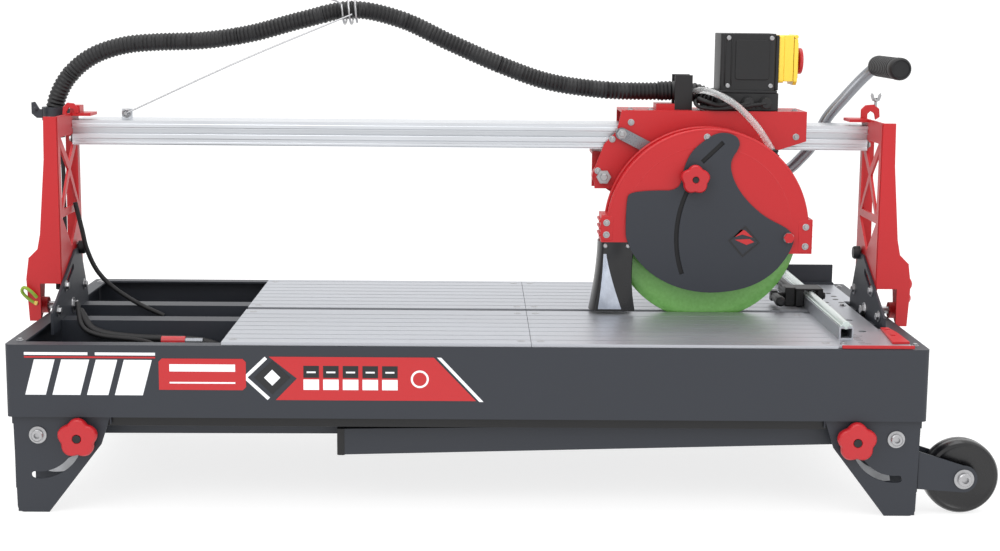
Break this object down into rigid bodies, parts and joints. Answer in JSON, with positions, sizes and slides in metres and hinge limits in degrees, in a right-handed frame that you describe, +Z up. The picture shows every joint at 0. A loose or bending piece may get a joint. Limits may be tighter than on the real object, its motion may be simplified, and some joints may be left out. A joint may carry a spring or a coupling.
{
  "type": "bridge tile-cutting saw",
  "caption": "Wet tile saw with a water tray, a slotted table, a tilting rail bridge, a sliding plunge head with a 250 mm blade, a conduit arm, folding legs and transport wheels.",
  "frame": {"origin": "middle of the whole machine's plan box, on the floor that the feet stand on", "axes": "+X to the right along the rail towards the wheels, +Y to the back, +Z up"},
  "size_m": [1.2536, 0.516, 0.624],
  "materials": {
    "graphite_paint": "satin",
    "red_paint": "gloss",
    "table_aluminium": "brushed",
    "plated_steel": "satin",
    "handle_grey": "satin",
    "motor_paint": "satin",
    "black_plastic": "matte",
    "black_rubber": "matte",
    "red_plastic": "gloss",
    "yellow_plastic": "satin",
    "clear_hose": "gloss",
    "green_blade": "gloss"
  },
  "bodies": {
    "frame": {"tray": "graphite_paint", "table_beams": "graphite_paint", "table_plate_front_left": "table_aluminium", "table_plate_front_right": "table_aluminium", "table_plate_rear_left": "table_aluminium", "table_plate_rear_right": "table_aluminium", "scale_plate": "table_aluminium", "rear_stop_plate": "graphite_paint", "fence_profile": "table_aluminium", "foot_frame_left": "graphite_paint", "foot_frame_right": "graphite_paint", "shoulder_bolts": "plated_steel", "tilt_bracket_left": "graphite_paint", "tilt_bracket_right": "graphite_paint", "tilt_pivot_bolts": "plated_steel", "water_pump": "black_plastic"},
    "bridge": {"upright_left": "red_paint", "upright_right": "red_paint", "rail": "table_aluminium", "conduit_clamp_left": "graphite_paint"},
    "hanger": {"wire_hanger": "plated_steel"},
    "carriage": {"carriage_front_plate": "red_paint", "carriage_body": "red_paint", "carriage_bolts": "plated_steel", "switch_base": "black_plastic", "switch_box": "black_plastic", "conduit_clamp_right": "black_plastic", "water_hose": "clear_hose"},
    "head": {"head_arm": "red_paint", "motor_body": "motor_paint", "motor_cover": "black_plastic", "guard_shell": "red_paint", "handle_tube": "handle_grey", "handle_grip": "black_rubber", "splash_flap": "black_rubber"},
    "blade_shaft": {"spindle": "plated_steel", "blade": "green_blade", "arbor_nut": "plated_steel"},
    "wheel_front": {"wheel_front": "black_rubber"},
    "wheel_rear": {"wheel_rear": "black_rubber"},
    "conduit_1": {"conduit_link_1": "black_plastic"},
    "conduit_2": {"conduit_link_2": "black_plastic"},
    "conduit_3": {"conduit_link_3": "black_plastic"},
    "conduit_4": {"conduit_link_4": "black_plastic"},
    "conduit_5": {"conduit_link_5": "black_plastic"},
    "conduit_6": {"conduit_link_6": "black_plastic"},
    "conduit_7": {"conduit_link_7": "black_plastic"},
    "roller_left": {"roller_left": "plated_steel"},
    "roller_right": {"roller_right": "plated_steel"},
    "switch_cover": {"switch_cover": "yellow_plastic"},
    "stop_button": {"stop_button": "red_plastic"},
    "limit_link": {"limit_link": "plated_steel"},
    "side_cover": {"side_cover": "graphite_paint"},
    "cover_knob": {"cover_knob": "red_plastic"},
    "leg_left": {"leg_left": "graphite_paint"},
    "leg_right": {"leg_right": "graphite_paint"},
    "leg_knob_left": {"leg_knob_left": "red_plastic"},
    "leg_knob_right": {"leg_knob_right": "red_plastic"},
    "side_stop": {"side_stop": "black_plastic"},
    "stop_lever": {"stop_lever": "black_plastic"}
  },
  "joints": [
    {"name": "bridge_tilt", "type": "hinge", "parent": "frame", "child": "bridge", "pos_m": [-0.0363, -0.01245, 0.22], "axis": [1, 0, 0], "range_deg": [0, 45], "deforming": ["splash_flap"]},
    {"name": "carriage_slide", "type": "slide", "parent": "bridge", "child": "carriage", "axis": [1, 0, 0], "range_m": [-0.66, 0.02], "deforming": ["water_hose"]},
    {"name": "conduit_bend_1", "type": "hinge", "parent": "bridge", "child": "conduit_1", "pos_m": [-0.6063, 0.06155, 0.482], "axis": [0, -1, 0], "range_deg": [-3.52, 84.23]},
    {"name": "conduit_bend_2", "type": "hinge", "parent": "conduit_1", "child": "conduit_2", "pos_m": [-0.5413, 0.06155, 0.565], "axis": [0, -1, 0], "range_deg": [-8.9, 1.24]},
    {"name": "conduit_bend_3", "type": "hinge", "parent": "conduit_2", "child": "conduit_3", "pos_m": [-0.4163, 0.06155, 0.575], "axis": [0, -1, 0], "range_deg": [-6.97, 1.18]},
    {"name": "conduit_bend_4", "type": "hinge", "parent": "conduit_3", "child": "conduit_4", "pos_m": [-0.2913, 0.06155, 0.592], "axis": [0, -1, 0], "range_deg": [-77.5, 3.32]},
    {"name": "conduit_bend_5", "type": "hinge", "parent": "conduit_4", "child": "conduit_5", "pos_m": [-0.1813, 0.06155, 0.615], "axis": [0, -1, 0], "range_deg": [-72.51, 3.17]},
    {"name": "conduit_bend_6", "type": "hinge", "parent": "conduit_5", "child": "conduit_6", "pos_m": [-0.0663, 0.06155, 0.575], "axis": [0, -1, 0], "range_deg": [-8.22, 1.22]},
    {"name": "conduit_bend_7", "type": "hinge", "parent": "conduit_6", "child": "conduit_7", "pos_m": [0.0737, 0.06155, 0.522], "axis": [0, -1, 0], "range_deg": [-3.33, 77.84]},
    {"name": "hanger_swing", "type": "hinge", "parent": "bridge", "child": "hanger", "pos_m": [-0.5063, 0.06155, 0.475], "axis": [0, -1, 0], "range_deg": [-3.5, 73]},
    {"name": "roller_left_turn", "type": "hinge", "parent": "carriage", "child": "roller_left", "pos_m": [0.1957, 0.06155, 0.4748], "axis": [0, 1, 0], "continuous": true},
    {"name": "roller_right_turn", "type": "hinge", "parent": "carriage", "child": "roller_right", "pos_m": [0.3887, 0.06155, 0.4748], "axis": [0, 1, 0], "continuous": true},
    {"name": "head_plunge", "type": "hinge", "parent": "carriage", "child": "head", "pos_m": [0.1437, 0.03355, 0.396], "axis": [0, -1, 0], "range_deg": [0, 15], "deforming": ["water_hose"]},
    {"name": "limit_link_turn", "type": "hinge", "parent": "carriage", "child": "limit_link", "pos_m": [0.1667, 0.01355, 0.455], "axis": [0, -1, 0], "range_deg": [0, 16.5]},
    {"name": "blade_spin", "type": "hinge", "parent": "head", "child": "blade_shaft", "pos_m": [0.2797, -0.01245, 0.331], "axis": [0, 1, 0], "continuous": true},
    {"name": "side_cover_swing", "type": "hinge", "parent": "head", "child": "side_cover", "pos_m": [0.3877, -0.04045, 0.322], "axis": [0, 1, 0], "range_deg": [0, 50]},
    {"name": "cover_knob_turn", "type": "hinge", "parent": "head", "child": "cover_knob", "pos_m": [0.2597, -0.04445, 0.4], "axis": [0, 1, 0], "continuous": true},
    {"name": "switch_cover_lift", "type": "hinge", "parent": "carriage", "child": "switch_cover", "pos_m": [0.4029, 0.05855, 0.586], "axis": [0, -1, 0], "range_deg": [0, 100]},
    {"name": "stop_button_press", "type": "slide", "parent": "switch_cover", "child": "stop_button", "axis": [-1, 0, 0], "range_m": [0, 0.003], "stiffness_N_per_m": 400, "springref_m": -0.002},
    {"name": "leg_left_fold", "type": "hinge", "parent": "frame", "child": "leg_left", "pos_m": [-0.5653, 0.00555, 0.098], "axis": [0, 1, 0], "range_deg": [0, 92]},
    {"name": "leg_knob_left_turn", "type": "hinge", "parent": "leg_left", "child": "leg_knob_left", "pos_m": [-0.5143, -0.23445, 0.097], "axis": [0, 1, 0], "continuous": true},
    {"name": "leg_right_fold", "type": "hinge", "parent": "frame", "child": "leg_right", "pos_m": [0.4927, 0.00555, 0.098], "axis": [0, -1, 0], "range_deg": [0, 92]},
    {"name": "leg_knob_right_turn", "type": "hinge", "parent": "leg_right", "child": "leg_knob_right", "pos_m": [0.4417, -0.23445, 0.097], "axis": [0, 1, 0], "continuous": true},
    {"name": "wheel_front_turn", "type": "hinge", "parent": "frame", "child": "wheel_front", "pos_m": [0.5802, -0.21645, 0.047], "axis": [0, 1, 0], "continuous": true},
    {"name": "wheel_rear_turn", "type": "hinge", "parent": "frame", "child": "wheel_rear", "pos_m": [0.5802, 0.22755, 0.047], "axis": [0, 1, 0], "continuous": true},
    {"name": "side_stop_slide", "type": "slide", "parent": "frame", "child": "side_stop", "axis": [0, 1, 0], "range_m": [-0.2, 0.06]},
    {"name": "stop_lever_lift", "type": "hinge", "parent": "side_stop", "child": "stop_lever", "pos_m": [0.4037, 0.04855, 0.2293], "axis": [-1, 0, 0], "range_deg": [0, 80]}
  ],
  "couplings": [
    {"joint": "conduit_bend_1", "follows": "carriage_slide", "rad_per_m": -2.201},
    {"joint": "conduit_bend_2", "follows": "carriage_slide", "rad_per_m": 0.209},
    {"joint": "conduit_bend_3", "follows": "carriage_slide", "rad_per_m": 0.158},
    {"joint": "conduit_bend_4", "follows": "carriage_slide", "rad_per_m": 2.023},
    {"joint": "conduit_bend_5", "follows": "carriage_slide", "rad_per_m": 1.891},
    {"joint": "conduit_bend_6", "follows": "carriage_slide", "rad_per_m": 0.191},
    {"joint": "conduit_bend_7", "follows": "carriage_slide", "rad_per_m": -2.032},
    {"joint": "hanger_swing", "follows": "carriage_slide", "rad_per_m": -1.894},
    {"joint": "roller_left_turn", "follows": "carriage_slide", "rad_per_m": 125},
    {"joint": "roller_right_turn", "follows": "carriage_slide", "rad_per_m": 125},
    {"joint": "limit_link_turn", "follows": "head_plunge", "ratio": 1.04}
  ]
}
